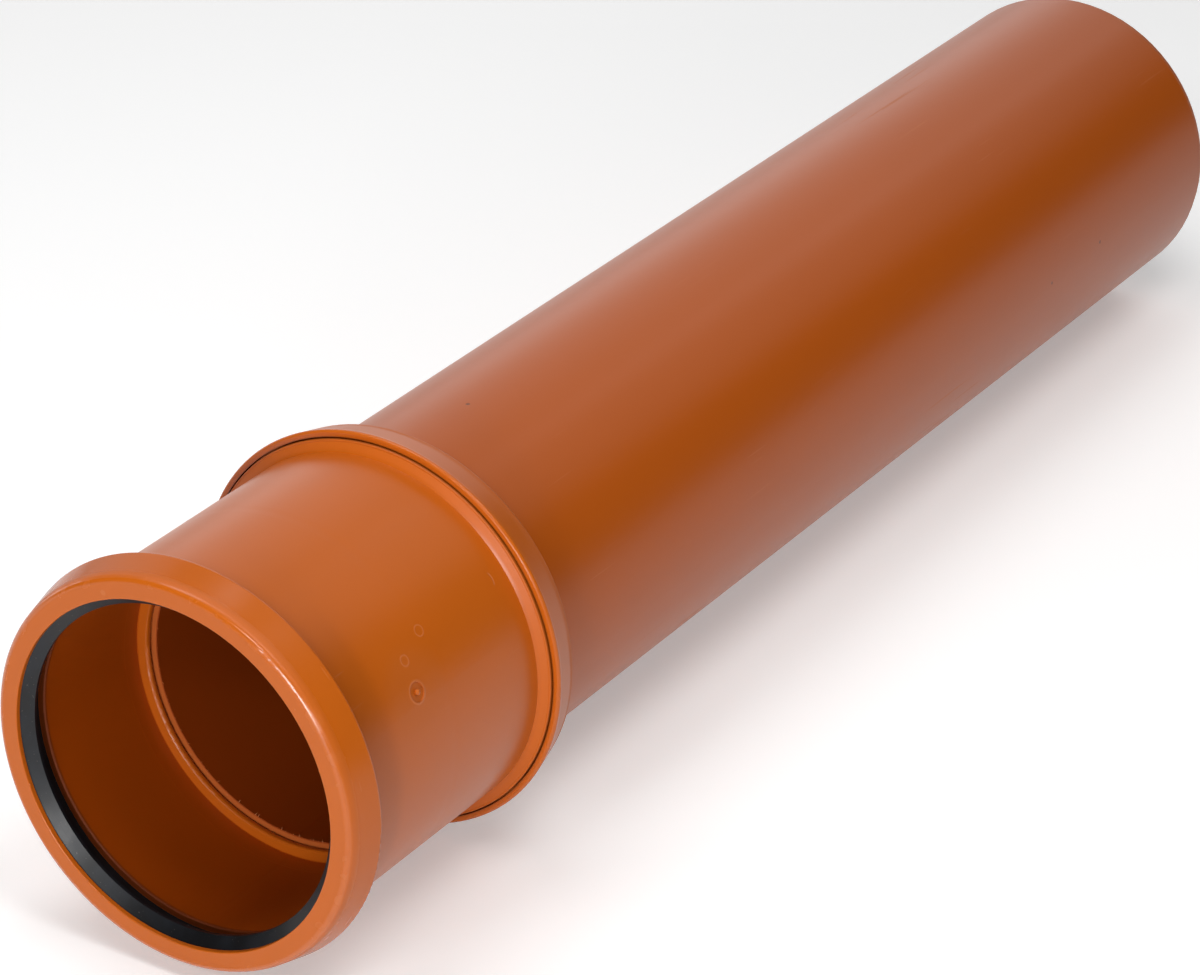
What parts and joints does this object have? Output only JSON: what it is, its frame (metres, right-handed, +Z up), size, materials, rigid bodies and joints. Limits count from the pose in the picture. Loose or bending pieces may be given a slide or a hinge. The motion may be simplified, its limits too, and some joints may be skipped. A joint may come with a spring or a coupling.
{
  "type": "polypropylene sewer pipe",
  "caption": "Plain-ended sewer pipe with a push-on coupler on one end, whose lip seals are held by clip-on rings; the free half is the socket for the next pipe.",
  "frame": {"origin": "on the floor under the middle of the lying pipe", "axes": "+X from the socket's mouth to the free end, +Z up; the pipe's axis falls towards +X because the socket is thicker"},
  "size_m": [0.5592, 0.1296, 0.1316],
  "materials": {
    "pipe_plastic": "satin",
    "coupler_plastic": "satin",
    "ring_plastic": "satin",
    "seal_rubber": "satin"
  },
  "bodies": {
    "root": {"pipe": "pipe_plastic", "coupler": "coupler_plastic", "retaining_ring_front": "ring_plastic", "retaining_ring_rear": "ring_plastic", "seal_front": "seal_rubber", "seal_rear": "seal_rubber"}
  },
  "joints": []
}
